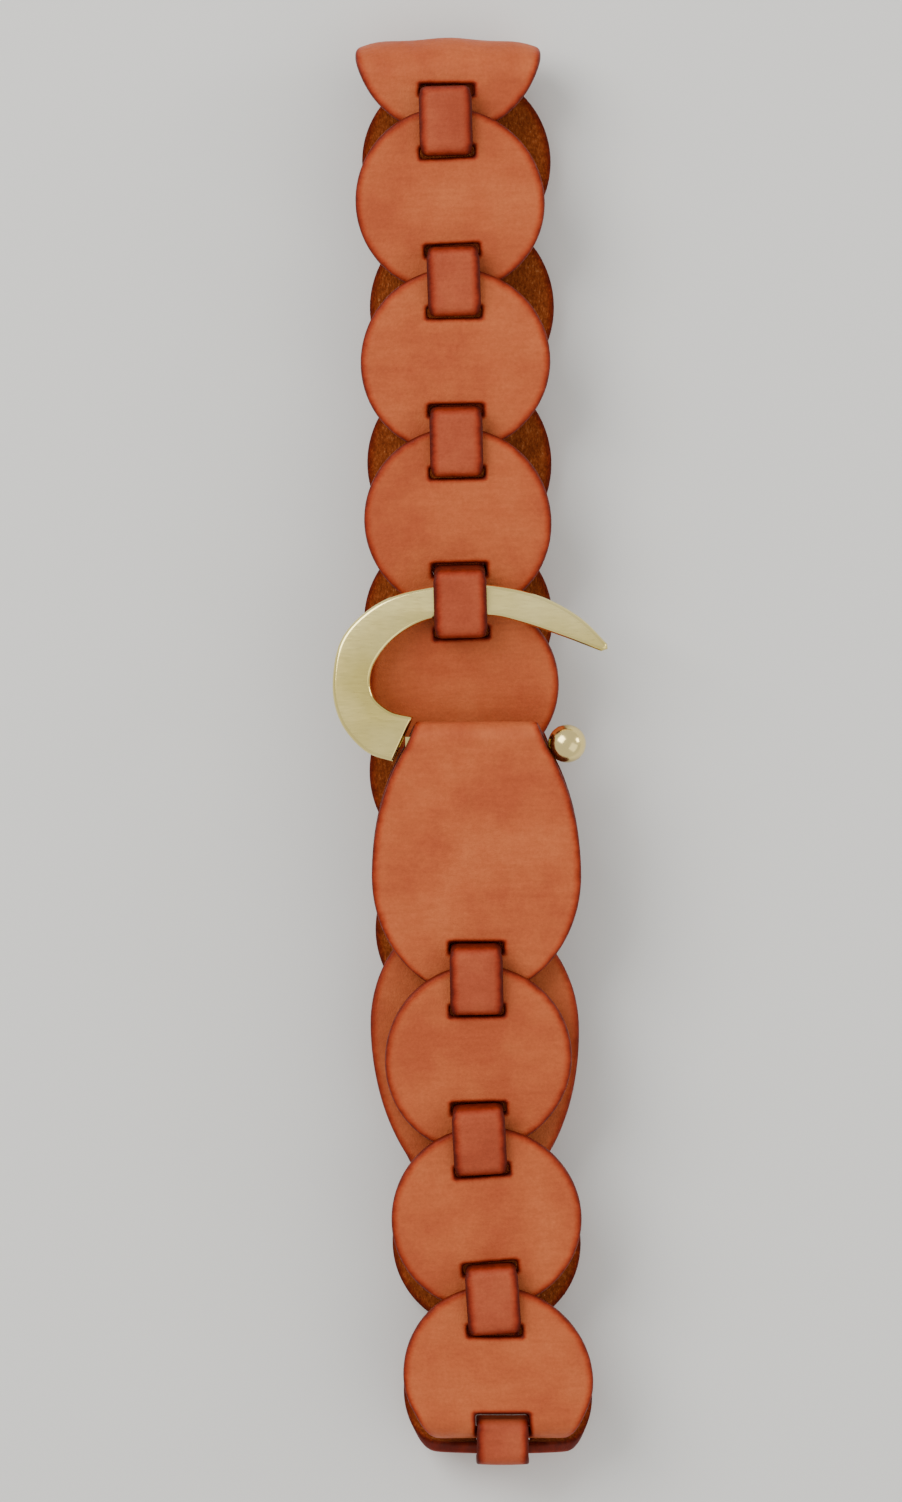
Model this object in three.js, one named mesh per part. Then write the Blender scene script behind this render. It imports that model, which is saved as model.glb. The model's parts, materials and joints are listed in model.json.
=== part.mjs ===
// A leather link belt, buckled and laid flat. Leather discs with two windows each are joined by
// closed leather strap rings. The front run lies over the back run, a brass hook closes the loop, and
// the spare tail tucks in under the buckle tab. Millimetres, +Z up, +Y towards the top fold.
import * as THREE from 'three';

// ---- driving dimensions ----
const discRadius = 26;
const discLeather = 3;
const windowStart = 7.1;
const windowEnd = 10.1;
const windowHalf = 8.3;
const topFoldWindow = [6.9, 13.4];
const innerFoldWindow = [6.2, 12.2];
const outerFoldWindow = [6.2, 15];

const ringLeather = 2;
const ringWidth = 14.5;
const ringInnerLength = 15;
const ringInnerHeight = 8.6;
const holdRingHeight = 14;
const restRingHeight = 10.1;
const ringCorner = 2;
const ringInnerCorner = 0.5;
const ringCornerSteps = 3;
const ringHalf = ringInnerHeight / 2 + ringLeather;

const leafGap = 0.8;
const discRise = (discLeather + leafGap) / 2;

const backHeight = ringHalf;
const frontHeight = 24;
const tailHeight = 16.7;
const tailGapRise = 2.3;
const hookHeight = 30;
const holdDrop = 3.4;
const tailLift = 1.2;

const frontPitch = 43.8;
const backPitch = 42.9;
const firstFrontJoint = 172.4;
const firstBackJoint = 144;
const lowerFrontJoint = -62.1;
const firstTailJoint = -4.3;
const tailPitch = 43;
const tailTabSlope = THREE.MathUtils.degToRad(2.2);
const foldTop = 184.6;
const topJointY = 181.3;
const bottomJointY = -189;
const foldSink = 0.3;
const foldCrease = 5;
const foldReach = 8.6;

const tabLeather = 2.8;
const tabHalfWidth = 28.6;
const tabRound = 33.1;
const tabTaper = 47.9;
const tabLength = 42.4;
const tabOverlap = 4.9;
const tabBackLength = 34;
const tailTabDrift = 0.02;

const brassThickness = 3;
const brassBevel = 0.7;
const barThickness = 2.4;
const barWidth = 3.6;
const foldY = 3.2;
const barY = 2.1;
const barFrom = -12.4;
const barTo = 25;
const ballX = 31.7;
const ballRadius = 5.2;
const foldClearance = 0.6;

// ---- how finely the pieces are divided ----
const rowCount = 12;
const bentRowCount = 24;
const tabRowCount = 36;
const tailRowCount = 18;
const leastRowGap = 0.4;
const rimInset = 0.05;
const innerLaneShare = 0.8;
const lanesPerRow = 4;
const outerEdgeSteps = 30;
const innerEdgeSteps = 28;
const ballSides = 20;
const ballRings = 12;

// ---- finishes ----
const leather = (color) => new THREE.MeshStandardMaterial({ color, roughness: 0.62, metalness: 0 });
const brass = (color) => new THREE.MeshStandardMaterial({ color, roughness: 0.3, metalness: 1 });
const frontLeather = '#ba6641';
const strapLeather = '#af6042';
const backLeather = '#6e3219';
const brassColour = '#c8ba89';

const belt = new THREE.Group();

function add(name, geometry, material) {
  const mesh = new THREE.Mesh(geometry, material);
  mesh.name = name;
  belt.add(mesh);
}

// ---- leather plates ----
// A path in the YZ plane: straight stretches and arcs, walked by length. Each leg has a length and a
// turn, and a positive turn bends the path towards +Z of its own heading.
function makePath(start, heading, legs) {
  return (distance) => {
    let y = start.y;
    let z = start.z;
    let angle = heading;
    let left = distance;
    for (const [index, leg] of legs.entries()) {
      const last = index === legs.length - 1;
      const run = last ? left : Math.min(left, leg.length);
      const turn = leg.turn * run / leg.length;
      if (Math.abs(turn) < 1e-9) {
        y += Math.cos(angle) * run;
        z += Math.sin(angle) * run;
      } else {
        const radius = run / turn;
        y += radius * (Math.sin(angle + turn) - Math.sin(angle));
        z += radius * (Math.cos(angle) - Math.cos(angle + turn));
      }
      angle += turn;
      left -= run;
      if (left === 0) break;
    }
    return { y, z, angle };
  };
}

// A plate of leather cut to an outline and laid along a path. halfWidth(u) is the outline, windows
// are [from, to] along u, and rows are the places along u where the plate is divided.
function leatherPlate({ rows, halfWidth, windows, thickness, place }) {
  const positions = [];
  const index = [];
  const xs = (u) => {
    const w = halfWidth(u);
    const inner = Math.min(windowHalf, w * innerLaneShare);
    return [-w, -inner, inner, w];
  };
  rows.forEach((u) => {
    xs(u).forEach((x) => {
      for (const side of [1, -1]) positions.push(...place(x, u, side * thickness / 2));
    });
  });
  const at = (row, lane, side) => (row * lanesPerRow + lane) * 2 + (side > 0 ? 0 : 1);
  const filled = (row, lane) => {
    if (row < 0 || row >= rows.length - 1 || lane < 0 || lane >= lanesPerRow - 1) return false;
    const middle = (rows[row] + rows[row + 1]) / 2;
    return !(lane === 1 && windows.some(([from, to]) => middle > from && middle < to));
  };
  const quad = (a, b, c, d) => index.push(a, b, c, a, c, d);
  for (let row = 0; row < rows.length - 1; row += 1) {
    for (let lane = 0; lane < lanesPerRow - 1; lane += 1) {
      if (!filled(row, lane)) continue;
      const corners = [[row, lane], [row, lane + 1], [row + 1, lane + 1], [row + 1, lane]];
      const [a, b, c, d] = corners.map(([r, l]) => at(r, l, 1));
      const [e, f, g, h] = corners.map(([r, l]) => at(r, l, -1));
      quad(a, b, c, d);
      quad(e, h, g, f);
      if (!filled(row - 1, lane)) quad(a, e, f, b);
      if (!filled(row + 1, lane)) quad(d, c, g, h);
      if (!filled(row, lane - 1)) quad(a, d, h, e);
      if (!filled(row, lane + 1)) quad(b, f, g, c);
    }
  }
  const geometry = new THREE.BufferGeometry();
  geometry.setAttribute('position', new THREE.BufferAttribute(new Float32Array(positions), 3));
  geometry.setIndex(index);
  return geometry;
}

// Row places between two ends, closer together near the ends, with the window edges among them.
function rowPlaces(from, to, count, edges) {
  const places = new Set(edges);
  for (let i = 0; i <= count; i += 1) {
    const share = (1 - Math.cos(Math.PI * i / count)) / 2;
    const u = from + (to - from) * share;
    if (edges.every((edge) => Math.abs(edge - u) > leastRowGap)) places.add(u);
  }
  return [...places].sort((a, b) => a - b);
}

// A disc's two windows, given the distance from its middle to each of its two joints.
const standardWindow = [windowStart, windowEnd];
const discWindows = (reach, lowWindow, highWindow) => [
  [lowWindow[0] - reach, lowWindow[1] - reach],
  [reach - highWindow[1], reach - highWindow[0]],
];

function discPlate(reach, place, count = rowCount, ends = [standardWindow, standardWindow]) {
  const windows = discWindows(reach, ...ends);
  const end = discRadius - rimInset;
  return leatherPlate({
    rows: rowPlaces(-end, end, count, windows.flat()),
    halfWidth: (u) => Math.sqrt(discRadius ** 2 - u ** 2),
    windows,
    thickness: discLeather,
    place,
  });
}

// ---- joints: the middle of each strap ring, where two discs overlap ----
const spot = (x, y, z) => new THREE.Vector3(x, y, z);
const upperDrift = [-1.4, 0.8, 1.5, 2.6];
const lowerDrift = [7, 7.8, 11.5];
const lowerHeights = [28, 26, 24.5];
const backDrift = [3.3, 3, 1.9, 2.3, 3.6, 5.9, 8.2, 11.5];
const tailDrift = [4.5, 6];

const upper = upperDrift.map((x, i) => spot(x, firstFrontJoint - i * frontPitch, frontHeight));
const lower = lowerDrift.map((x, i) => spot(x, lowerFrontJoint - i * frontPitch, lowerHeights[i]));
const back = backDrift.map((x, i) => spot(x, firstBackJoint - i * backPitch, backHeight));
const tail = tailDrift.map((x, i) => spot(x, firstTailJoint - i * tailPitch, tailHeight));
const hold = upper[3];
const topJoint = spot(0, topJointY, backHeight);
const bottomJoint = spot(14.2, bottomJointY, (lowerHeights[2] + backHeight) / 2);

// The direction from a lower point to an upper one, and the frame of a plate that lies along it.
const direction = (from, to) => to.clone().sub(from).normalize();

function frameAlong(along) {
  const across = spot(1, 0, 0).addScaledVector(along, -along.x).normalize();
  return { along, across, out: across.clone().cross(along) };
}

// ---- flat discs ----
// Each disc runs from the joint above it to the joint below it. Its upper edge lies over its
// neighbour and its lower edge lies under the next disc.
function flatDisc(name, above, below, colour, rise = discRise, drop = discRise) {
  const top = above.clone().add(spot(0, 0, rise));
  const bottom = below.clone().add(spot(0, 0, -drop));
  const { along, across, out } = frameAlong(direction(bottom, top));
  const centre = top.clone().add(bottom).multiplyScalar(0.5);
  const place = (x, u, v) => centre.clone()
    .addScaledVector(across, x).addScaledVector(along, u).addScaledVector(out, v).toArray();
  add(name, discPlate(top.distanceTo(bottom) / 2, place), leather(colour));
  return along;
}

const heading = {};
heading.front2 = flatDisc('disc_front_2', upper[0], upper[1], frontLeather);
heading.front3 = flatDisc('disc_front_3', upper[1], upper[2], frontLeather);
heading.front4 = flatDisc('disc_front_4', upper[2], hold, frontLeather, discRise, holdDrop);
heading.tail5 = flatDisc('disc_tail_5', hold, tail[0], frontLeather, tailLift, tailGapRise);
heading.tail6 = flatDisc('disc_tail_6', tail[0], tail[1], frontLeather, tailGapRise);
heading.front7 = flatDisc('disc_front_7', lower[0], lower[1], frontLeather);
heading.front8 = flatDisc('disc_front_8', lower[1], lower[2], frontLeather);
heading.backA = flatDisc('disc_back_a', topJoint, back[0], backLeather);
const backLetters = ['B', 'C', 'D', 'E', 'F', 'G', 'H'];
backLetters.forEach((letter, i) => {
  const name = `disc_back_${letter.toLowerCase()}`;
  heading[`back${letter}`] = flatDisc(name, back[i], back[i + 1], backLeather);
});

// ---- bent discs at the two folds ----
// The path starts at the disc's first joint, and x drifts evenly from there to its second joint.
function bentDisc(name, legs, start, angle, drift, windows, colour) {
  const length = legs.reduce((sum, leg) => sum + leg.length, 0);
  const path = makePath(start, angle, legs);
  const place = (x, u, v) => {
    const distance = length / 2 + u;
    const here = path(distance);
    return [
      x + start.x + drift * distance / length,
      here.y - Math.sin(here.angle) * v,
      here.z + Math.cos(here.angle) * v,
    ];
  };
  const geometry = discPlate(length / 2, place, bentRowCount, windows);
  add(name, geometry, leather(colour));
}

const topStart = upper[0].clone().add(spot(0, 0, -discRise));
const topRadius = (topStart.z - (backHeight - discRise - foldSink)) / 2;
bentDisc('disc_front_1', [
  { length: foldTop - topStart.y, turn: 0 },
  { length: Math.PI * topRadius, turn: -Math.PI },
  { length: foldTop - topJointY, turn: 0 },
], topStart, 0, topJoint.x - upper[0].x, [standardWindow, topFoldWindow], frontLeather);

// The lowest two discs bend a quarter turn each and meet in an upright ring.
function quarterFold(name, start, side, offset, window, colour) {
  const creaseZ = bottomJoint.z + side * foldReach;
  const flatLength = start.y - (bottomJointY + offset + foldCrease);
  const slope = Math.atan2(creaseZ - start.z, flatLength);
  const quarter = Math.PI / 2;
  bentDisc(name, [
    { length: flatLength / Math.cos(slope), turn: 0 },
    { length: foldCrease * (quarter + side * slope), turn: side * quarter + slope },
    { length: foldReach - foldCrease, turn: 0 },
  ], start, Math.PI - slope, bottomJoint.x - start.x, [standardWindow, window], colour);
}

const startNine = lower[2].clone().add(spot(0, 0, discRise));
const startI = back[7].clone().add(spot(0, 0, discRise));
quarterFold('disc_front_9', startNine, 1, discRise, innerFoldWindow, frontLeather);
quarterFold('disc_back_i', startI, -1, -discRise, outerFoldWindow, backLeather);

// ---- strap rings ----
function roundedBox(target, halfLength, halfHeight, corner) {
  target.moveTo(-halfLength + corner, -halfHeight);
  target.lineTo(halfLength - corner, -halfHeight);
  target.absarc(halfLength - corner, -halfHeight + corner, corner, -Math.PI / 2, 0, false);
  target.lineTo(halfLength, halfHeight - corner);
  target.absarc(halfLength - corner, halfHeight - corner, corner, 0, Math.PI / 2, false);
  target.lineTo(-halfLength + corner, halfHeight);
  target.absarc(-halfLength + corner, halfHeight - corner, corner, Math.PI / 2, Math.PI, false);
  target.lineTo(-halfLength, -halfHeight + corner);
  target.absarc(-halfLength + corner, -halfHeight + corner, corner, Math.PI, 1.5 * Math.PI, false);
  return target;
}

function strapRing(name, at, headings, innerHeight = ringInnerHeight) {
  const innerLength = ringInnerLength / 2;
  const outline = roundedBox(
    new THREE.Shape(), innerLength + ringLeather, innerHeight / 2 + ringLeather, ringCorner,
  );
  outline.holes.push(roundedBox(new THREE.Path(), innerLength, innerHeight / 2, ringInnerCorner));
  const geometry = new THREE.ExtrudeGeometry(outline, {
    depth: ringWidth, bevelEnabled: false, curveSegments: ringCornerSteps,
  });
  geometry.translate(0, 0, -ringWidth / 2);
  const along = headings.reduce((sum, one) => sum.add(one), spot(0, 0, 0)).normalize();
  const { across, out } = frameAlong(along);
  geometry.applyMatrix4(new THREE.Matrix4().makeBasis(along, out, across).setPosition(at));
  add(name, geometry, leather(strapLeather));
}

const level = spot(0, 1, 0);
strapRing('strap_front_1', upper[0], [heading.front2, level]);
strapRing('strap_front_2', upper[1], [heading.front2, heading.front3]);
strapRing('strap_front_3', upper[2], [heading.front3, heading.front4]);
const holdRing = hold.clone().add(spot(0, 0, tailLift));
strapRing('strap_front_4', holdRing, [heading.front4], holdRingHeight);
strapRing('strap_tail_5', tail[0], [heading.tail5, heading.tail6]);
strapRing('strap_tail_6', tail[1], [heading.tail6]);
strapRing('strap_front_5', lower[0], [heading.front7]);
strapRing('strap_front_6', lower[1], [heading.front7, heading.front8]);
strapRing('strap_front_7', lower[2], [heading.front8, level]);
strapRing('strap_bottom_8', bottomJoint, [spot(0, 0, 1)]);
strapRing('strap_back_top', topJoint, [heading.backA, level]);

// The two middle rings of the back run lie level, and the whole belt rests on their flat outer faces.
const restLetters = ['D', 'E'];
['A', ...backLetters].slice(0, 7).forEach((letter, i) => {
  const next = backLetters[i];
  const name = `strap_back_${letter.toLowerCase()}_${next.toLowerCase()}`;
  const rests = restLetters.includes(letter);
  const headings = [heading[`back${letter}`], heading[`back${next}`]];
  if (rests) headings.forEach((one) => one.setZ(0));
  strapRing(name, back[i], headings, rests ? restRingHeight : ringInnerHeight);
});
strapRing('strap_back_h_i', back[7], [heading.backH, level]);

// ---- buckle tab: one leather piece folded over the hook's bar ----
// Its outline is widest where its rounded end begins and tapers towards the fold.
const tabWidest = tabRound - tabOverlap;
const tabFoldEdge = tabWidest + tabLength;

function tabOutline(distance) {
  const folded = distance > tabFoldEdge ? 2 * tabFoldEdge - distance : distance;
  const from = folded - tabWidest;
  return tabHalfWidth * Math.sqrt(1 - (from / (from < 0 ? tabRound : tabTaper)) ** 2);
}

function tabPlate(name, legs, start, angle, end, thickness, count, colour, drift) {
  const path = makePath(start, angle, legs);
  const from = -tabOverlap + rimInset;
  const geometry = leatherPlate({
    rows: rowPlaces(from, end, count, standardWindow),
    halfWidth: tabOutline,
    windows: [standardWindow],
    thickness,
    place: (x, u, v) => {
      const here = path(u);
      return [
        x + start.x + drift * u,
        here.y - Math.sin(here.angle) * v,
        here.z + Math.cos(here.angle) * v,
      ];
    },
  });
  add(name, geometry, leather(colour));
}

const leafRadius = barThickness / 2 + foldClearance + tabLeather / 2;
const leafStart = lower[0].clone().add(spot(0, 0, -discRise));
const leafRun = Math.hypot(foldY - leafStart.y, hookHeight + leafRadius - leafStart.z);
const leafSlope = Math.atan2(hookHeight + leafRadius - leafStart.z, foldY - leafStart.y);
const leafLength = leafRun + Math.PI * leafRadius + tabBackLength;
tabPlate('buckle_tab', [
  { length: leafRun, turn: 0 },
  { length: Math.PI * leafRadius, turn: -Math.PI },
  { length: tabBackLength, turn: 0 },
], leafStart, leafSlope, leafLength, tabLeather, tabRowCount, frontLeather, 0);

// ---- tail tab: cut to the same outline, single and flat, pointing the other way ----
const tailStart = tail[1].clone().add(spot(0, 0, discRise));
tabPlate('tail_tab', [{ length: tabFoldEdge, turn: 0 }],
  tailStart, Math.PI + tailTabSlope, tabFoldEdge, discLeather, tailRowCount, frontLeather, tailTabDrift);

// ---- brass hook: a flat sickle plate, a bar through the tab's fold and a ball on its far end ----
const spline = (points) => new THREE.SplineCurve(points.map(([x, y]) => new THREE.Vector2(x, y)));
const outerEdge = spline([
  [-15.8, -2.9], [-23.5, 0], [-30.2, 8], [-32.3, 18.6], [-29.4, 31.4], [-19, 40.8], [-4.9, 44.9],
  [9.8, 45.4], [24, 42.4], [35, 36.6], [42.6, 29.2],
]);
const innerEdge = spline([
  [41, 27.2], [30, 31.4], [18.9, 35.1], [9.8, 36.9], [-4.9, 36.1], [-15, 31], [-21.2, 23],
  [-21.4, 15.6], [-16.6, 11], [-10.3, 9.4],
]);
const outerPoints = outerEdge.getPoints(outerEdgeSteps);
const innerPoints = innerEdge.getPoints(innerEdgeSteps);
const hookOutline = new THREE.Shape([...outerPoints, ...innerPoints]);
const hookGeometry = new THREE.ExtrudeGeometry(hookOutline, {
  depth: brassThickness - 2 * brassBevel,
  bevelThickness: brassBevel,
  bevelSize: brassBevel,
  bevelOffset: -brassBevel,
  bevelSegments: 1,
});
hookGeometry.translate(0, 0, hookHeight - brassThickness / 2 + brassBevel);
add('hook_plate', hookGeometry, brass(brassColour));

const barGeometry = new THREE.BoxGeometry(barTo - barFrom, barWidth, barThickness);
barGeometry.translate((barFrom + barTo) / 2, barY, hookHeight);
add('hook_bar', barGeometry, brass(brassColour));

const ballGeometry = new THREE.SphereGeometry(ballRadius, ballSides, ballRings);
ballGeometry.translate(ballX, barY, hookHeight);
add('ball_end', ballGeometry, brass(brassColour));

// The belt rests at height zero, with its outer box centred over the origin.
const box = new THREE.Box3().setFromObject(belt, true);
belt.position.set(-(box.min.x + box.max.x) / 2, -(box.min.y + box.max.y) / 2, -box.min.z);

export default belt;
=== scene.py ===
import json
import math
import random

import bmesh
import bpy
from mathutils import Matrix, Vector

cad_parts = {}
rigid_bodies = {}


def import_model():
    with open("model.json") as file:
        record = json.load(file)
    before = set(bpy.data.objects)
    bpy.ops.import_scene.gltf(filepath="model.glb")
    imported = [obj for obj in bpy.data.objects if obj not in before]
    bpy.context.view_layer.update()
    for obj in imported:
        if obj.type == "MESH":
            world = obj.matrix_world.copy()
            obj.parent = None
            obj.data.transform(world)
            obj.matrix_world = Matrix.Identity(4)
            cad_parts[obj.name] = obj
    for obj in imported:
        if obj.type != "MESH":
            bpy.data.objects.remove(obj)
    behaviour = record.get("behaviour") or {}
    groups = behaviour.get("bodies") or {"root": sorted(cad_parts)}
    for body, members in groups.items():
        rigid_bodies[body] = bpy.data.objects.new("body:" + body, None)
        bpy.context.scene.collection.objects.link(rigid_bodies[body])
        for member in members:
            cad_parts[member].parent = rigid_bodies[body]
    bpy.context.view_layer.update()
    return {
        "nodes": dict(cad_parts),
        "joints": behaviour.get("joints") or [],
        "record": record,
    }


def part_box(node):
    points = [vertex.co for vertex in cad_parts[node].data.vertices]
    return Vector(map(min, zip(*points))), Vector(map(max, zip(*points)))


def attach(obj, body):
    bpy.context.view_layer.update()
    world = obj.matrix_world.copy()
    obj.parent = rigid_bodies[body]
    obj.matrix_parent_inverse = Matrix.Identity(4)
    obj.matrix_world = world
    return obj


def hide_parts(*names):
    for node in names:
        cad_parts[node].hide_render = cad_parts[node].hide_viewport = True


for leftover in list(bpy.data.objects):
    bpy.data.objects.remove(leftover)

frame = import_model()

MM = 0.001
joint_at = {joint["name"]: Vector(joint["pos_m"]) for joint in frame["joints"]}
bodies = frame["record"]["behaviour"]["bodies"]
body_of = {node: body for body, nodes in bodies.items() for node in nodes}


# ---------------------------------------------------------------------------------------------
# Leather. One vegetable-tanned hide is used all through. Its grain side is smooth, tan and faintly
# mottled. Its flesh side is brown suede with loose fibres, and the cut edges are burnished dark. Round the
# windows, and where the straps dive into them, painted shade makes the edges darker still.
# ---------------------------------------------------------------------------------------------
def linear(hex_colour):
    """Turns an sRGB colour written in hex into the linear colour that a shader works in."""
    channels = [int(hex_colour[i:i + 2], 16) / 255 for i in (1, 3, 5)]
    return [c / 12.92 if c <= 0.04045 else ((c + 0.055) / 1.055) ** 2.4 for c in channels] + [1.0]


def add_node(tree, kind, inputs=(), steps=(), **settings):
    """Adds a node with its settings and links and, on a colour ramp, its steps of colour."""
    node = tree.nodes.new(kind)
    for key, value in settings.items():
        setattr(node, key, value)
    for key, value in dict(inputs).items():
        if isinstance(value, bpy.types.NodeSocket):
            tree.links.new(value, node.inputs[key])
        else:
            node.inputs[key].default_value = value
    if steps:
        elements = node.color_ramp.elements
        for _ in steps[2:]:
            elements.new(0.5)
        for element, (place, colour) in zip(elements, steps):
            element.position = place
            element.color = linear(colour)
    return node


def leather(name, tans):
    """Hide with a waxed grain side in three tans, a dull suede flesh side, and dark edges: burnish, with
    painted shade at the windows.

    Pores and fibres are drawn several times coarser than real, as real ones are too fine to show.
    """
    material = bpy.data.materials.new(name)
    material.use_nodes = True
    tree = material.node_tree
    shader = tree.nodes["Principled BSDF"]
    place = add_node(tree, "ShaderNodeAttribute", attribute_name="hide_place").outputs["Vector"]
    edge = add_node(tree, "ShaderNodeAttribute", attribute_name="from_edge").outputs["Fac"]
    side = add_node(tree, "ShaderNodeAttribute", attribute_name="flesh_side").outputs["Fac"]

    # Each pattern's size in mm, its detail, its roughness and its stretch along the hide.
    patterns = {
        "mottle": (18.18, 4, 0.6, (1, 1, 1)),
        "specks": (0.909, 3, 0.65, (1, 1, 1)),
        "streaks": (2, 3, 0.6, (0.25, 1.6, 1)),
        "fibres": (0.5882, 5, 0.75, (1, 0.45, 1)),
        "nap": (6.25, 3, 0.6, (1, 1, 1)),
        "rubbing": (2.857, 3, 0.6, (1, 1, 1)),
        "wax": (4, 4, 0.6, (1, 1, 1)),
        "creases": (2.222, 5, 0.62, (1, 1, 1)),
    }
    cloud = {}
    for pattern, (size, detail, roughness, stretch) in patterns.items():
        scaled = add_node(tree, "ShaderNodeMapping", {"Vector": place, "Scale": stretch}).outputs[0]
        cloud[pattern] = add_node(tree, "ShaderNodeTexNoise", {
            "Vector": scaled, "Scale": 1 / size, "Detail": detail, "Roughness": roughness,
        }).outputs["Fac"]

    grain = add_node(tree, "ShaderNodeValToRGB", {0: cloud["mottle"]}, [
        (0.36, tans[0]), (0.52, tans[1]), (0.68, tans[2]),
    ]).outputs[0]
    suede = add_node(tree, "ShaderNodeValToRGB", {0: cloud["fibres"]}, [
        (0.32, "#692b10"), (0.5, "#8b4019"), (0.6, "#a25326"), (0.72, "#c58a55"),
    ]).outputs[0]
    fine = [(0.3, "#c9c0bb"), (0.7, "#ffffff")]
    streaky = [(0.3, "#d9cdc6"), (0.65, "#ffffff")]
    brushed = [(0.35, "#cdb9b0"), (0.65, "#ffffff")]
    for pattern, tones, share in (("specks", fine, 0.38), ("streaks", streaky, 0.3)):
        toned = add_node(tree, "ShaderNodeValToRGB", {0: cloud[pattern]}, tones).outputs[0]
        grain = add_node(
            tree, "ShaderNodeMix", {0: share, 6: grain, 7: toned}, data_type="RGBA", blend_type="MULTIPLY",
        ).outputs[2]
    toned = add_node(tree, "ShaderNodeValToRGB", {0: cloud["nap"]}, brushed).outputs[0]
    suede = add_node(
        tree, "ShaderNodeMix", {0: 0.45, 6: suede, 7: toned}, data_type="RGBA", blend_type="MULTIPLY",
    ).outputs[2]
    colour = add_node(tree, "ShaderNodeMix", {0: side, 6: grain, 7: suede}, data_type="RGBA").outputs[2]

    # The edge was burnished by hand, so the dark band wanders between about 1 and 3 mm wide. Its darkest end,
    # reached at the windows and strap bends, is painted shade for the gap round each strap.
    wander = add_node(
        tree, "ShaderNodeMath", {0: cloud["rubbing"], 1: 1.1, 2: 0.5}, operation="MULTIPLY_ADD",
    ).outputs[0]
    reach = add_node(tree, "ShaderNodeMath", {0: edge, 1: wander}, operation="SUBTRACT").outputs[0]
    burnish_and_shade = add_node(tree, "ShaderNodeMapRange", {
        "Value": reach, "From Min": -0.85, "From Max": 1.9, "To Min": 1.0, "To Max": 0.0,
    }, interpolation_type="SMOOTHSTEP").outputs[0]
    cut = add_node(tree, "ShaderNodeValToRGB", {0: burnish_and_shade}, [
        (0.0, "#ffffff"), (0.4, "#efcdbf"), (0.75, "#c98668"), (1.0, "#7d3a22"),
    ]).outputs[0]
    colour = add_node(
        tree, "ShaderNodeMix", {0: 1.0, 6: colour, 7: cut}, data_type="RGBA", blend_type="MULTIPLY",
    ).outputs[2]
    tree.links.new(colour, shader.inputs["Base Color"])

    # Wax lies unevenly, so the grain's sheen comes and goes, while the suede has none.
    sheen = add_node(tree, "ShaderNodeMapRange", {
        "Value": cloud["wax"], "From Min": 0.3, "From Max": 0.7, "To Min": 0.44, "To Max": 0.6,
    }).outputs[0]
    suede_roughness = 0.95
    rough = add_node(tree, "ShaderNodeMix", {0: side, 2: sheen, 3: suede_roughness}, data_type="FLOAT")
    tree.links.new(rough.outputs[0], shader.inputs["Roughness"])
    shader.inputs["Specular IOR Level"].default_value = 0.25
    shader.inputs["Specular Tint"].default_value = linear("#ead0c2")

    pore_size = 0.4762
    pores = add_node(tree, "ShaderNodeTexVoronoi", {"Vector": place, "Scale": 1 / pore_size}, feature="F1")
    pore_height, crease_height, fibre_height = (
        add_node(tree, "ShaderNodeMath", {0: pattern, 1: strength}, operation="MULTIPLY").outputs[0]
        for pattern, strength in (
            (pores.outputs["Distance"], 0.55), (cloud["creases"], 1.2), (cloud["fibres"], 4.0),
        )
    )
    grain_height = add_node(tree, "ShaderNodeMath", {0: pore_height, 1: crease_height}, operation="ADD")
    height = add_node(
        tree, "ShaderNodeMix", {0: side, 2: grain_height.outputs[0], 3: fibre_height}, data_type="FLOAT",
    ).outputs[0]
    bump = add_node(tree, "ShaderNodeBump", {"Height": height, "Strength": 0.5, "Distance": 0.22 * MM})
    tree.links.new(bump.outputs[0], shader.inputs["Normal"])
    return material


# The front is worn grain side out: a warm tan with a soft sheen and faint clouding.
front_hide = leather("tan_hide_smooth_grain", ["#b2532f", "#bd5e35", "#c5673b"])
# The back run shows its flesh side: dull brown suede, flecked with paler fibres.
back_hide = leather("brown_hide_suede_flesh", ["#a3421a", "#af4d20", "#b95828"])
# Straps are bent tight and rubbed most, so they look redder and a little darker than the discs.
strap_hide = leather("strap_hide_burnished", ["#a1462b", "#ac4f31", "#b65937"])


# ---------------------------------------------------------------------------------------------
# Discs. Each is stamped from 3 mm hide with a round cutter, has two windows for the straps, and its
# edge is rounded and rubbed smooth. They differ a little in curl, as wet-moulded leather does.
# ---------------------------------------------------------------------------------------------
disc_radius = 26 * MM
disc_thickness = 3 * MM
disc_rise = 1.9 * MM
disc_curl = 0.3 * MM
curl_wave = 0.6
curl_dish = 0.4
oval_share = 0.012
corner_share = 0.005
disc_steps = 128
window = [7.1 * MM, 10.1 * MM]
window_half = 7.4 * MM
window_corner = 1 * MM
corner_steps = 5
cut_spacing = 2 * MM
weld = 0.001 * MM
sliver = 0.02 * MM
edge_round = 1.0 * MM
rounding_steps = 3
rim_lightness = 0.45 * MM
# Window edges take the darkest tone in a narrow band: painted shade for the gap round each strap, over the
# burnish.
window_shade_sharpness = 1.8
flesh_fade = 1.6
flesh_start = 0.3
hide_length = 400
dice = random.Random(19)


def rounded_window(low, high):
    """Corner-rounded slot outline between two places along the piece."""
    points = []
    corners = [(1, 1, high, 0), (-1, 1, high, 90), (-1, -1, low, 180), (1, -1, low, 270)]
    for side_x, side_u, edge_u, turn in corners:
        centre_x = side_x * (window_half - window_corner)
        centre_u = edge_u - side_u * window_corner
        for step in range(corner_steps + 1):
            angle = math.radians(turn + 90 * step / corner_steps)
            points.append((
                centre_x + window_corner * math.cos(angle),
                centre_u + window_corner * math.sin(angle),
            ))
    return points


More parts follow.
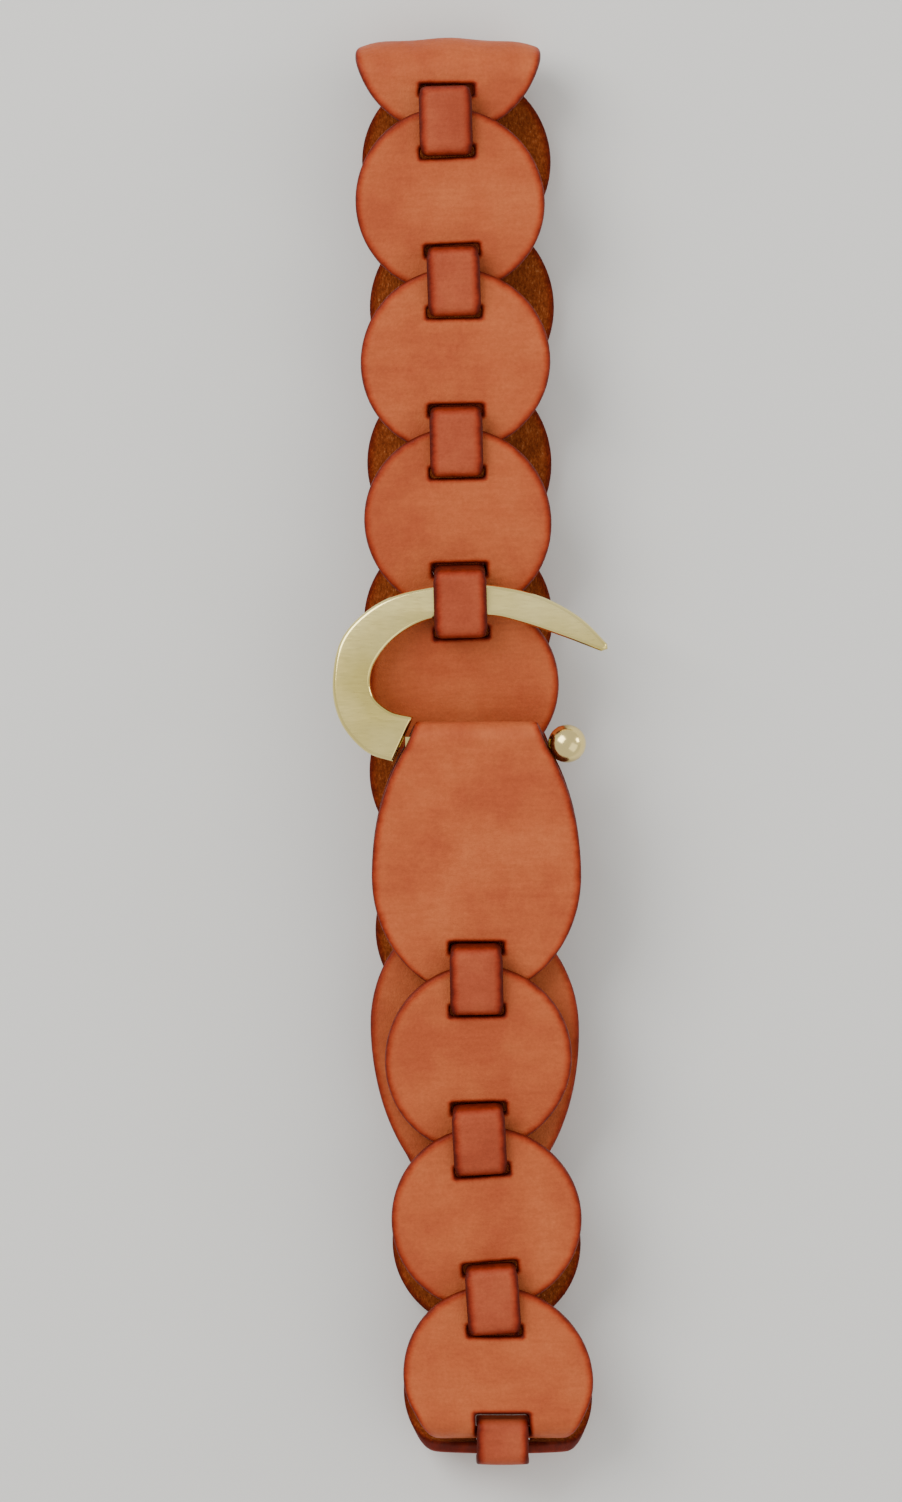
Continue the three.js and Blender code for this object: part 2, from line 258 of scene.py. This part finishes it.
def dice_up(bm, axis, places):
    """Cuts the piece across at each place along an axis, so that it can bend and carry its shading."""
    for place in places:
        spot = Vector((0, 0, 0))
        spot[axis] = place
        normal = Vector((0, 0, 0))
        normal[axis] = 1
        everything = bm.verts[:] + bm.edges[:] + bm.faces[:]
        bmesh.ops.bisect_plane(bm, geom=everything, plane_co=spot, plane_no=normal)


def finished_mesh(holder):
    """The welded mesh that a curve or a modifier makes. What held it is thrown away."""
    bpy.context.scene.collection.objects.link(holder)
    bpy.context.view_layer.update()
    evaluated = holder.evaluated_get(bpy.context.evaluated_depsgraph_get())
    mesh = bpy.data.meshes.new_from_object(evaluated)
    bpy.data.objects.remove(holder)
    bm = bmesh.new()
    bm.from_mesh(mesh)
    bpy.data.meshes.remove(mesh)
    bmesh.ops.remove_doubles(bm, verts=bm.verts, dist=weld)
    return bm


def rounded_sheet(outlines, thickness, edge, steps):
    """A flat sheet cut along its outlines, with its edges rounded."""
    curve = bpy.data.curves.new("sheet", "CURVE")
    curve.dimensions = "2D"
    curve.fill_mode = "BOTH"
    curve.extrude = thickness / 2 - edge
    curve.bevel_depth = edge
    curve.bevel_resolution = steps
    curve.offset = -edge
    for points in outlines:
        spline = curve.splines.new("POLY")
        spline.points.add(len(points) - 1)
        for point, (x, y) in zip(spline.points, points):
            point.co = (x, y, 0, 1)
        spline.use_cyclic_u = True
    return finished_mesh(bpy.data.objects.new("sheet", curve))


def cut_plate(outline, windows, thickness, edge):
    """A flat plate with rounded edges, diced finely enough to bend."""
    bm = rounded_sheet([outline, *windows], thickness, edge, rounding_steps)
    for axis in (0, 1):
        low = min(v.co[axis] for v in bm.verts)
        high = max(v.co[axis] for v in bm.verts)
        count = int((high - low) / cut_spacing)
        dice_up(bm, axis, [low + (high - low) * step / count for step in range(1, count)])
    bmesh.ops.remove_doubles(bm, verts=bm.verts, dist=sliver)
    return bm


def make_piece(name, bm, material, node):
    """Turns a mesh into a piece that stands for its node and rides with that node's body."""
    mesh = bpy.data.meshes.new(name)
    bmesh.ops.recalc_face_normals(bm, faces=bm.faces)
    bm.to_mesh(mesh)
    bm.free()
    mesh.materials.append(material)
    mesh.shade_smooth()
    piece = bpy.data.objects.new(name, mesh)
    bpy.context.scene.collection.objects.link(piece)
    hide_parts(node)
    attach(piece, body_of[node])
    return piece


def hide_notes(bm):
    """Layers that note each point's place in the hide, its distance from a cut edge and its side."""
    layers = bm.verts.layers
    return (
        layers.float_vector.new("hide_place"), layers.float.new("from_edge"), layers.float.new("flesh_side"),
    )


def place_in_hide():
    """A spot in the hide for a piece to be cut from, so that no two pieces look alike."""
    return Vector([dice.uniform(0, hide_length) for _ in range(3)])


def lay_leather(name, node, bm, thickness, place, edge_distance, grain_up, material, curl=0.0):
    """Puts a diced plate in its place, and notes on it where the grain, flesh and cut edges are."""
    place_layer, edge_layer, side_layer = hide_notes(bm)
    start = place_in_hide()
    lean = dice.uniform(0, math.tau)
    for vert in bm.verts:
        x, u, v = vert.co
        vert[place_layer] = start + Vector((x, u, v)) / MM
        vert[edge_layer] = edge_distance(x, u) / MM
        depth = v / (thickness / 2) * (1 if grain_up else -1)
        vert[side_layer] = min(1.0, max(0.0, -depth * flesh_fade - flesh_start))
        reach = math.hypot(x, u) / disc_radius
        wave = math.cos(2 * (math.atan2(u, x) - lean))
        vert.co = place(x, u, v + curl * min(reach, 1.0) ** 3 * (wave * curl_wave - curl_dish))
    return make_piece(name, bm, material, node)


def window_distance(x, u, low, high):
    """How far a point is from a window's edge. It is below zero inside the window."""
    across = abs(x) - window_half
    along = max(low - u, u - high)
    return math.hypot(max(across, 0), max(along, 0)) + min(max(across, along), 0)


def disc_plate(reach, low_window=window, high_window=window, drift=0.0):
    """A disc with its two windows, and the rule that says how far a point is from its cut edges."""
    slots = [
        [low_window[0] - reach, low_window[1] - reach],
        [reach - high_window[1], reach - high_window[0]],
    ]
    sideways = drift * sum(high_window) / 2 / (2 * reach)
    oval = dice.uniform(0, math.tau)
    corners = dice.uniform(0, math.tau)

    def cut_radius(angle):
        squeeze = oval_share * (1 + math.cos(2 * (angle - oval)))
        return disc_radius * (1 - squeeze - corner_share * math.cos(3 * (angle - corners)))

    turns = [step * math.tau / disc_steps for step in range(disc_steps)]
    circle = [(cut_radius(turn) * math.cos(turn), cut_radius(turn) * math.sin(turn)) for turn in turns]

    def edge_distance(x, u):
        to_rim = cut_radius(math.atan2(u, x)) - math.hypot(x, u)
        to_slots = min(
            window_distance(x - (sideways if low > 0 else 0), u, low, high) for low, high in slots
        )
        # The outer rim is burnish only. Round the windows the dark tone is painted shade as well.
        return min(to_rim + rim_lightness, to_slots * window_shade_sharpness)

    near, far = (rounded_window(low, high) for low, high in slots)
    far = [(x + sideways, u) for x, u in far]
    return cut_plate(circle, [near, far], disc_thickness, edge_round), edge_distance


def plate_frame(along):
    """The directions across and out of a plate that heads along a line."""
    across = (Vector((1, 0, 0)) - along * along.x).normalized()
    return across, across.cross(along)


heading = {}


def flat_disc(node, above, below, material, grain_up, rise=disc_rise, drop=disc_rise, low_window=window):
    """A disc that hangs from the strap above it and slopes down to lie under the strap below."""
    top = above + Vector((0, 0, rise))
    bottom = below - Vector((0, 0, drop))
    along = (top - bottom).normalized()
    across, out = plate_frame(along)
    centre = (top + bottom) / 2
    bm, edge_distance = disc_plate((top - bottom).length / 2, low_window)

    def place(x, u, v):
        return centre + across * x + along * u + out * v

    lay_leather(
        "leather_" + node, node, bm, disc_thickness, place, edge_distance, grain_up, material, disc_curl,
    )
    heading[node] = along


hold_joint = joint_at["turn_tail_4_5"] + Vector((0, 0, 1 * MM))
hold_drop = 3.4 * MM
hold_window = [7.15 * MM, 10.6 * MM]
tail_lift = 1.2 * MM
tail_gap_rise = 2.3 * MM
front = [joint_at[name] for name in ("turn_front_1_2", "turn_front_2_3", "turn_front_3_4")] + [hold_joint]
lower = [joint_at[name] for name in ("turn_front_7_tab", "turn_front_8_7", "turn_front_9_8")]
back_pairs = ("b_a", "c_b", "d_c", "e_d", "e_f", "f_g", "g_h", "h_i")
back = [joint_at[f"turn_back_{pair}"] for pair in back_pairs]
tail = [joint_at["turn_tail_5_6"], joint_at["turn_tail_6_end"]]
top_joint = joint_at["turn_top_a_1"]
bottom_joint = joint_at["turn_bottom_i_9"]

flat_disc("disc_front_2", front[0], front[1], front_hide, True)
flat_disc("disc_front_3", front[1], front[2], front_hide, True)
flat_disc("disc_front_4", front[2], front[3], front_hide, True, disc_rise, hold_drop, hold_window)
flat_disc("disc_tail_5", hold_joint, tail[0], front_hide, True, tail_lift, tail_gap_rise)
flat_disc("disc_tail_6", tail[0], tail[1], front_hide, True, tail_gap_rise)
flat_disc("disc_front_7", lower[0], lower[1], front_hide, True)
flat_disc("disc_front_8", lower[1], lower[2], front_hide, True)
flat_disc("disc_back_a", top_joint, back[0], back_hide, False)
for index, letter in enumerate("bcdefgh"):
    flat_disc(f"disc_back_{letter}", back[index], back[index + 1], back_hide, False)


# ---------------------------------------------------------------------------------------------
# Fold discs. Three discs are the same cut as the rest, but bent while damp: one turns right over at
# the top fold, and two bend a quarter turn each at the bottom fold.
# ---------------------------------------------------------------------------------------------
top_fold_reach = 3.3 * MM
fold_top = top_joint.y + top_fold_reach
fold_sink = 0.3 * MM
fold_crease = 5 * MM
fold_reach = 8.6 * MM
fold_curl = 0.15 * MM
top_fold_window = [6.9 * MM, 13.4 * MM]
inner_fold_window = [6.2 * MM, 12.1 * MM]
outer_fold_window = [6.2 * MM, 15 * MM]
crest_width = 9 * MM
swell_width = 8 * MM
rim_start = 0.62
crest_narrowing = 0.02
straight = 1e-9


def walk(start, angle, legs, distance):
    """The place and heading reached along straight and curved stretches in the YZ plane."""
    y, z, left = start.y, start.z, distance
    for number, (length, turn) in enumerate(legs):
        run = left if number == len(legs) - 1 else min(left, length)
        bend = turn * run / length
        if abs(bend) < straight:
            y += math.cos(angle) * run
            z += math.sin(angle) * run
        else:
            radius = run / bend
            y += radius * (math.sin(angle + bend) - math.sin(angle))
            z += radius * (math.cos(angle) - math.cos(angle + bend))
        angle += bend
        left -= run
        if left == 0:
            break
    return y, z, angle


def bent_disc(node, legs, start, angle, drift, windows, material, grain_up, crest, swell, droop):
    """Bends a disc along its legs. Its rim draws back at the crest, and swell pushes its middle out."""
    length = sum(leg[0] for leg in legs)
    bm, edge_distance = disc_plate(length / 2, windows[0], windows[1], drift)

    def place(x, u, v):
        distance = length / 2 + u
        y, z, here = walk(start, angle, legs, distance)
        nearness = math.exp(-(((distance - crest) / crest_width) ** 2))
        rim = max(0, abs(x) / disc_radius - rim_start) / (1 - rim_start)
        pull = (droop * rim**2 - swell * math.exp(-((x / swell_width) ** 2))) * nearness
        outwards = -1 if y > 0 else 1
        return Vector((
            x * (1 - crest_narrowing * nearness * rim) + start.x + drift * distance / length,
            y - math.sin(here) * v + outwards * pull,
            z + math.cos(here) * v,
        ))

    lay_leather(
        "leather_" + node, node, bm, disc_thickness, place, edge_distance, grain_up, material, fold_curl,
    )


top_start = front[0] - Vector((0, 0, disc_rise))
top_radius = (top_start.z - (top_joint.z - disc_rise - fold_sink)) / 2
top_flat = fold_top - top_start.y
top_bend = math.pi * top_radius
bent_disc(
    "disc_front_1", [(top_flat, 0), (top_bend, -math.pi), (fold_top - top_joint.y, 0)],
    top_start, 0, top_joint.x - front[0].x, [window, top_fold_window], front_hide, True,
    crest=top_flat + top_bend / 2, swell=1 * MM, droop=2.2 * MM,
)


def quarter_fold(node, start, side, offset, slot_window, material, grain_up, droop):
    """A disc that lies flat, then turns a quarter up or down into the bottom fold."""
    crease_z = bottom_joint.z + side * fold_reach
    flat_length = start.y - (bottom_joint.y + offset + fold_crease)
    slope = math.atan2(crease_z - start.z, flat_length)
    legs = [
        (flat_length / math.cos(slope), 0),
        (fold_crease * (math.pi / 2 + side * slope), side * math.pi / 2 + slope),
        (fold_reach - fold_crease, 0),
    ]
    bent_disc(
        node, legs, start, math.pi - slope, bottom_joint.x - start.x, [window, slot_window],
        material, grain_up, crest=legs[0][0] + legs[1][0], swell=0, droop=droop,
    )


rise = Vector((0, 0, disc_rise))
quarter_fold("disc_front_9", lower[2] + rise, 1, disc_rise, inner_fold_window, front_hide, False, 4 * MM)
quarter_fold("disc_back_i", back[7] + rise, -1, -disc_rise, outer_fold_window, back_hide, True, 1.5 * MM)


# ---------------------------------------------------------------------------------------------
# Strap rings. Each is a 14.5 mm band of 2 mm hide bent into a closed loop through two windows and
# glued to itself underneath. The band is a rounded strip swept round a rounded rectangle.
# ---------------------------------------------------------------------------------------------
strap_width = 14.5 * MM
strap_thickness = 2 * MM
strap_edge = 0.6 * MM
strap_bend = 2.2 * MM
strap_pinch = 1.6 * MM
strap_crown = 0.25 * MM
strap_sink = 0.12 * MM
lining_margin = 0.5 * MM
# Each strap darkens towards its bends, where it dives into a window. This is painted shade, kept this far
# short of the darkest tone.
bend_shade_offset = 0.6 * MM
leg_taper = 0.35 * MM
taper_reach = 3 * MM
ring_length = 17 * MM
ring_height = 10.6 * MM
resting_ring_height = 12.1 * MM
hook_ring_height = 16 * MM
path_spacing = 0.7 * MM
bend_steps = 7
strip_steps = 4
# The band is diced at these distances from its middle, closer together towards its edges.
band_cuts = (0.9, 2.7, 4.3, 5.4, 6.0)


def ring_tree():
    """The nodes that make one ring, and the sizes that they ask for."""
    tree = bpy.data.node_groups.new("strap_ring", "GeometryNodeTree")
    sizes = {
        "Length": ring_length, "Height": ring_height, "Width": strap_width, "Thickness": strap_thickness,
        "Bend": strap_bend, "Edge": strap_edge,
    }
    for name in sizes:
        tree.interface.new_socket(name, in_out="INPUT", socket_type="NodeSocketFloat")
    tree.interface.new_socket("Hide", in_out="INPUT", socket_type="NodeSocketMaterial")
    tree.interface.new_socket("Geometry", in_out="OUTPUT", socket_type="NodeSocketGeometry")
    given = add_node(tree, "NodeGroupInput").outputs

    def rounded_rectangle(width, height, corner, steps):
        shape = add_node(tree, "GeometryNodeCurvePrimitiveQuadrilateral", {"Width": width, "Height": height})
        fillet = add_node(tree, "GeometryNodeFilletCurve", {
            "Curve": shape.outputs[0], "Radius": corner, "Count": steps,
        }, mode="POLY")
        return fillet.outputs[0]

    path = rounded_rectangle(given["Length"], given["Height"], given["Bend"], bend_steps)
    even = add_node(tree, "GeometryNodeResampleCurve", {"Curve": path, "Length": path_spacing}, mode="LENGTH")
    strip = rounded_rectangle(given["Thickness"], given["Width"], given["Edge"], strip_steps)
    band = add_node(tree, "GeometryNodeCurveToMesh", {"Curve": even.outputs[0], "Profile Curve": strip})
    whole = add_node(tree, "GeometryNodeRealizeInstances", {0: band.outputs[0]})
    finish = add_node(tree, "GeometryNodeSetMaterial", {
        "Geometry": whole.outputs[0], "Material": given["Hide"],
    })
    add_node(tree, "NodeGroupOutput", {0: finish.outputs[0]})
    return tree, sizes


strap_ring_tree, ring_sizes = ring_tree()


def strap_ring(node, at, headings, height=ring_height, skew=0, end_shows=False):
    """One ring, laid along the mean heading of its discs. Its legs narrow as they dive into a window, and
    painted shade darkens them there.
    """
    holder = bpy.data.objects.new("band", bpy.data.meshes.new("band"))
    modifier = holder.modifiers.new("ring", "NODES")
    modifier.node_group = strap_ring_tree
    asked = {**ring_sizes, "Height": height, "Hide": strap_hide}
    for item in strap_ring_tree.interface.items_tree:
        if item.in_out == "INPUT":
            modifier[item.identifier] = asked[item.name]
    bm = finished_mesh(holder)
    dice_up(bm, 2, [side * place * MM for side in (1, -1) for place in band_cuts])
    place_layer, edge_layer, side_layer = hide_notes(bm)
    along = sum(headings, Vector((0, 0, 0))).normalized()
    across, out = plate_frame(along)
    askew = Matrix.Rotation(math.radians(skew), 3, out)
    along, across = askew @ along, askew @ across
    start = place_in_hide()
    for vert in bm.verts:
        length_way, height_way, width_way = vert.co
        vert[place_layer] = start + Vector((width_way, length_way, height_way)) / MM
        inside = abs(length_way) < ring_length / 2 and abs(height_way) < height / 2
        to_side = strap_width / 2 - abs(width_way)
        to_bend = ring_length / 2 + strap_thickness / 2 - abs(length_way)
        # Towards the bends the strap's edge tone is painted shade, where it dives into its window.
        vert[edge_layer] = (to_side if end_shows else min(to_side, to_bend + bend_shade_offset)) / MM
        pinch = 0 if end_shows else max(0, strap_pinch - to_bend)
        dive = min(0.5 if end_shows else 1, max(0, (taper_reach - to_bend) / MM))
        narrow = strap_pinch - math.sqrt(max(0, strap_pinch ** 2 - pinch ** 2)) + leg_taper * dive
        width_way *= 1 - 2 * narrow / strap_width
        vert[side_layer] = 1.0 if inside and to_side > lining_margin else 0.0
        if height_way > 0:
            height_way += strap_crown * (1 - (2 * width_way / strap_width) ** 2) - strap_sink
        vert.co = at + along * length_way + out * height_way + across * width_way
    return make_piece("leather_" + node, bm, strap_hide, node)


level = Vector((0, 1, 0))
strap_ring("strap_front_1", front[0], [heading["disc_front_2"], level])
strap_ring("strap_front_2", front[1], [heading["disc_front_2"], heading["disc_front_3"]])
strap_ring("strap_front_3", front[2], [heading["disc_front_3"], heading["disc_front_4"]])
hook_ring_spot = hold_joint + Vector((0, 0, tail_lift))
strap_ring("strap_front_4", hook_ring_spot, [heading["disc_front_4"]], hook_ring_height)
strap_ring("strap_tail_5", tail[0], [heading["disc_tail_5"], heading["disc_tail_6"]])
strap_ring("strap_tail_6", tail[1], [heading["disc_tail_6"]])
strap_ring("strap_front_5", lower[0], [heading["disc_front_7"]])
strap_ring("strap_front_6", lower[1], [heading["disc_front_7"], heading["disc_front_8"]])
strap_ring("strap_front_7", lower[2], [heading["disc_front_8"], level], skew=1.5)
strap_ring("strap_bottom_8", bottom_joint, [Vector((0, 0, 1))], end_shows=True)
top_ring_spot = top_joint + Vector((0.25 * MM, 0, 0))
strap_ring("strap_back_top", top_ring_spot, [heading["disc_back_a"], level])
for index, (upper_disc, lower_disc) in enumerate(zip("abcdefg", "bcdefgh")):
    ways = [heading[f"disc_back_{upper_disc}"].copy(), heading[f"disc_back_{lower_disc}"].copy()]
    resting = upper_disc in "de"
    if resting:
        for way in ways:
            way.z = 0
    tall = resting_ring_height if resting else ring_height
    strap_ring(f"strap_back_{upper_disc}_{lower_disc}", back[index], ways, tall)
strap_ring("strap_back_h_i", back[7], [heading["disc_back_h"], level])


# ---------------------------------------------------------------------------------------------
# Tabs. The buckle tab is a barrel-shaped piece of thinner hide folded over the hook's bar, with its
# front leaf on show. The tail tab is cut to the same outline, single, and points the other way.
# ---------------------------------------------------------------------------------------------
tab_thickness = 2.8 * MM
tab_edge_round = 0.9 * MM
tab_half_width = 28.6 * MM
tab_round = 33.1 * MM
tab_taper = 47.9 * MM
tab_length = 42.4 * MM
tab_overlap = 4.9 * MM
tab_back_length = 34 * MM
tab_shoulder = 3.1 * MM
shoulder_start = 0.8
tab_widest = tab_round - tab_overlap
tab_fold_edge = tab_widest + tab_length
tab_steps = 64
tab_side_slope = 0.92
tip_trim = 0.02 * MM
tip_lightness = 0.3 * MM
tail_dip = math.radians(2.2)
tail_drift = 0.02


def tab_half(distance):
    """Half the tab's width. The leaf behind the fold mirrors the one in front of it."""
    folded = 2 * tab_fold_edge - distance if distance > tab_fold_edge else distance
    off = folded - tab_widest
    oval = tab_half_width * math.sqrt(max(0, 1 - (off / (tab_round if off < 0 else tab_taper)) ** 2))
    past_shoulder = max(0, off / tab_length - shoulder_start) / (1 - shoulder_start)
    return oval + tab_shoulder * past_shoulder ** 2


def tab(node, legs, start, angle, end, thickness, drift, grain_up):
    """A tab cut from its round tip to its end, bent along its legs."""
    first = -tab_overlap + tip_trim
    shares = [(1 - math.cos(math.pi * step / tab_steps)) / 2 for step in range(tab_steps + 1)]
    places = [first + (end - first) * share for share in shares]
    right = [(tab_half(u), u) for u in places]
    outline = right + [(-x, u) for x, u in reversed(right)]

    def edge_distance(x, u):
        to_side = (tab_half(u) - abs(x)) * tab_side_slope
        to_rim = min(to_side, u - first + tip_lightness, end - u)
        # Round the window the dark tone is painted shade as well as burnish.
        return min(to_rim + rim_lightness, window_distance(x, u, *window) * window_shade_sharpness)

    def place(x, u, v):
        y, z, here = walk(start, angle, legs, u)
        return Vector((x + start.x + drift * u, y - math.sin(here) * v, z + math.cos(here) * v))

    bm = cut_plate(outline, [rounded_window(*window)], thickness, tab_edge_round)
    lay_leather("leather_" + node, node, bm, thickness, place, edge_distance, grain_up, front_hide)


bar_middle = joint_at["turn_hook"]
bar_radius = 1.2 * MM
bar_gap = 0.6 * MM
fold_ahead = 1.1 * MM
leaf_radius = bar_radius + bar_gap + tab_thickness / 2
leaf_start = lower[0] - rise
leaf_flat = bar_middle.y + fold_ahead - leaf_start.y
leaf_rise = bar_middle.z + leaf_radius - leaf_start.z
leaf_run = math.hypot(leaf_flat, leaf_rise)
leaf_bend = math.pi * leaf_radius
tab(
    "buckle_tab", [(leaf_run, 0), (leaf_bend, -math.pi), (tab_back_length, 0)],
    leaf_start, math.atan2(leaf_rise, leaf_flat), leaf_run + leaf_bend + tab_back_length,
    tab_thickness, 0, True,
)
tab(
    "tail_tab", [(tab_fold_edge, 0)], tail[1] + rise, math.pi + tail_dip, tab_fold_edge,
    disc_thickness, tail_drift, False,
)


# ---------------------------------------------------------------------------------------------
# Hook. A flat sickle of pale gold brass, cast, linished on its face and polished round its edges.
# A bar runs from it through the tab's fold to a polished ball that keeps the tab from sliding off.
# ---------------------------------------------------------------------------------------------
def brass(name, face, low_rough, high_rough):
    """Brass with faint linishing lines, drawn coarser than real. Its edges are polished brighter."""
    material = bpy.data.materials.new(name)
    material.use_nodes = True
    tree = material.node_tree
    shader = tree.nodes["Principled BSDF"]
    spot = add_node(tree, "ShaderNodeTexCoord").outputs["Object"]
    patches = add_node(tree, "ShaderNodeTexNoise", {"Vector": spot, "Scale": 32, "Detail": 3})
    tint = add_node(tree, "ShaderNodeValToRGB", {0: patches.outputs["Fac"]}, [
        (0.35, face[0]), (0.65, face[1]),
    ])
    tree.links.new(tint.outputs[0], shader.inputs["Base Color"])
    drawn_out = add_node(tree, "ShaderNodeMapping", {"Vector": spot, "Scale": (1, 9, 1)}).outputs[0]
    lines = add_node(tree, "ShaderNodeTexNoise", {
        "Vector": drawn_out, "Scale": 420, "Detail": 4,
    }).outputs["Fac"]
    linished = add_node(tree, "ShaderNodeMapRange", {
        "Value": lines, "From Min": 0.3, "From Max": 0.7, "To Min": low_rough, "To Max": high_rough,
    }).outputs[0]
    polish = add_node(tree, "ShaderNodeAttribute", attribute_name="polish").outputs["Fac"]
    edge_roughness = 0.14
    rough = add_node(tree, "ShaderNodeMix", {0: polish, 2: linished, 3: edge_roughness}, data_type="FLOAT")
    tree.links.new(rough.outputs[0], shader.inputs["Roughness"])
    bump = add_node(tree, "ShaderNodeBump", {"Height": lines, "Strength": 0.06, "Distance": 0.02 * MM})
    tree.links.new(bump.outputs[0], shader.inputs["Normal"])
    shader.inputs["Metallic"].default_value = 1.0
    return material


# The satin face gives broad, soft, pale gold reflections.
satin_brass = brass("cast_brass_satin_face", ["#dcc976", "#f5e39a"], 0.26, 0.42)
# The ball is turned and buffed, so it carries small, sharp glints.
polished_brass = brass("turned_brass_polished", ["#e3cb80", "#edd998"], 0.14, 0.24)


def smooth_line(points, steps):
    """A smooth line that passes through each of the given points."""
    spots = [Vector(p) for p in points]
    line = []
    for i in range(len(spots) - 1):
        before = spots[max(i - 1, 0)]
        after = spots[min(i + 2, len(spots) - 1)]
        a, b = spots[i], spots[i + 1]
        leave = (b - before) * 0.5
        arrive = (after - a) * 0.5
        for step in range(steps):
            t = step / steps
            line.append(
                a * (2 * t**3 - 3 * t**2 + 1) + leave * (t**3 - 2 * t**2 + t)
                + b * (3 * t**2 - 2 * t**3) + arrive * (t**3 - t**2)
            )
    line.append(spots[-1])
    return line


# The sickle's outline in mm, from a zero that lies inside its curve.
hook_outer = [
    (-15.8, -2.9), (-23.5, 0), (-30.2, 8), (-32.3, 18.6), (-29.4, 31.4), (-19, 40.8), (-4.9, 44.9),
    (9.8, 45.4), (24, 42.4), (35, 36.6), (42.6, 29.2),
]
hook_inner = [
    (41, 27.2), (30, 31.4), (18.9, 35.1), (9.8, 36.9), (-4.9, 36.1), (-15, 31), (-21.2, 23),
    (-21.4, 15.6), (-16.6, 11), (-10.3, 9.4),
]
hook_tip = (42.75, 27.85)
hook_heel = (-10.9, 7.8)
sickle_left = 32.35 * MM
sickle_top = 45.55 * MM
sickle_steps = 8
hook_thickness = 3 * MM
hook_edge = 1.1 * MM
hook_rounding = 4
face_margin = 0.02 * MM
sharp_angle = math.radians(35)
hook_low, hook_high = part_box("hook_plate")
hook_level = (hook_low.z + hook_high.z) / 2
hook_zero = Vector((hook_low.x + sickle_left, hook_high.y - sickle_top, hook_level))

hook_outline = smooth_line(hook_outer, sickle_steps) + [Vector(hook_tip)]
hook_outline += smooth_line(hook_inner, sickle_steps) + [Vector(hook_heel)]
hook_outline = [(spot.x * MM, spot.y * MM) for spot in hook_outline]
hook_bm = rounded_sheet([hook_outline], hook_thickness, hook_edge, hook_rounding)
polish_layer = hook_bm.verts.layers.float.new("polish")
for vert in hook_bm.verts:
    vert[polish_layer] = 1.0 if abs(vert.co.z) < hook_thickness / 2 - face_margin else 0.0
bmesh.ops.translate(hook_bm, verts=hook_bm.verts, vec=hook_zero)
hook_piece = make_piece("brass_hook_plate", hook_bm, satin_brass, "hook_plate")
hook_piece.data.set_sharp_from_angle(angle=sharp_angle)

ball_low, ball_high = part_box("ball_end")
ball_bm = bmesh.new()
bmesh.ops.create_icosphere(ball_bm, subdivisions=5, radius=(ball_high.x - ball_low.x) / 2)
bmesh.ops.translate(ball_bm, verts=ball_bm.verts, vec=(ball_low + ball_high) / 2)
make_piece("brass_ball_end", ball_bm, polished_brass, "ball_end")

bar = frame["nodes"]["hook_bar"]
bar.data.materials.clear()
bar.data.materials.append(satin_brass)


# ---------------------------------------------------------------------------------------------
# Stage. The belt lies on a plain pale floor, seen from straight above in broad, soft light.
# ---------------------------------------------------------------------------------------------
floor_half = 3
floor_roughness = 0.9
floor_material = bpy.data.materials.new("pale_floor")
floor_material.use_nodes = True
floor_shader = floor_material.node_tree.nodes["Principled BSDF"]
floor_shader.inputs["Base Color"].default_value = linear("#e3e2de")
floor_shader.inputs["Roughness"].default_value = floor_roughness
floor_bm = bmesh.new()
bmesh.ops.create_grid(floor_bm, x_segments=1, y_segments=1, size=floor_half)
floor_mesh = bpy.data.meshes.new("floor")
floor_bm.to_mesh(floor_mesh)
floor_bm.free()
floor_mesh.materials.append(floor_material)
floor = bpy.data.objects.new("floor", floor_mesh)
bpy.context.scene.collection.objects.link(floor)

room_strength = 0.9
world = bpy.data.worlds.new("soft_room")
bpy.context.scene.world = world
world.use_nodes = True
room = world.node_tree.nodes["Background"]
room.inputs["Color"].default_value = linear("#f4f3f1")
room.inputs["Strength"].default_value = room_strength


def soft_light(name, place, size, power):
    """A square lamp that faces the belt's middle. Sizes are in metres and power in watts."""
    data = bpy.data.lights.new(name, "AREA")
    data.shape = "SQUARE"
    data.size = size
    data.energy = power
    light = bpy.data.objects.new(name, data)
    light.location = place
    light.rotation_mode = "QUATERNION"
    light.rotation_quaternion = (-Vector(place)).to_track_quat("-Z", "Y")
    bpy.context.scene.collection.objects.link(light)


soft_light("key", (-1.1, 0.9, 1.5), 1.3, 30)
soft_light("fill", (1.2, -0.7, 1.4), 1.5, 6)
soft_light("glint", (1.5, 0.5, 0.55), 0.5, 5)

sensor_width = 36
camera_height = 2.4
belt_top = 25 * MM
view_height = 410.8 * MM
camera_data = bpy.data.cameras.new("camera")
camera_data.sensor_width = sensor_width
camera_data.lens = sensor_width * (camera_height - belt_top) / view_height
camera = bpy.data.objects.new("camera", camera_data)
camera.location = (hook_zero.x, hook_zero.y, camera_height)
bpy.context.scene.collection.objects.link(camera)
bpy.context.scene.camera = camera
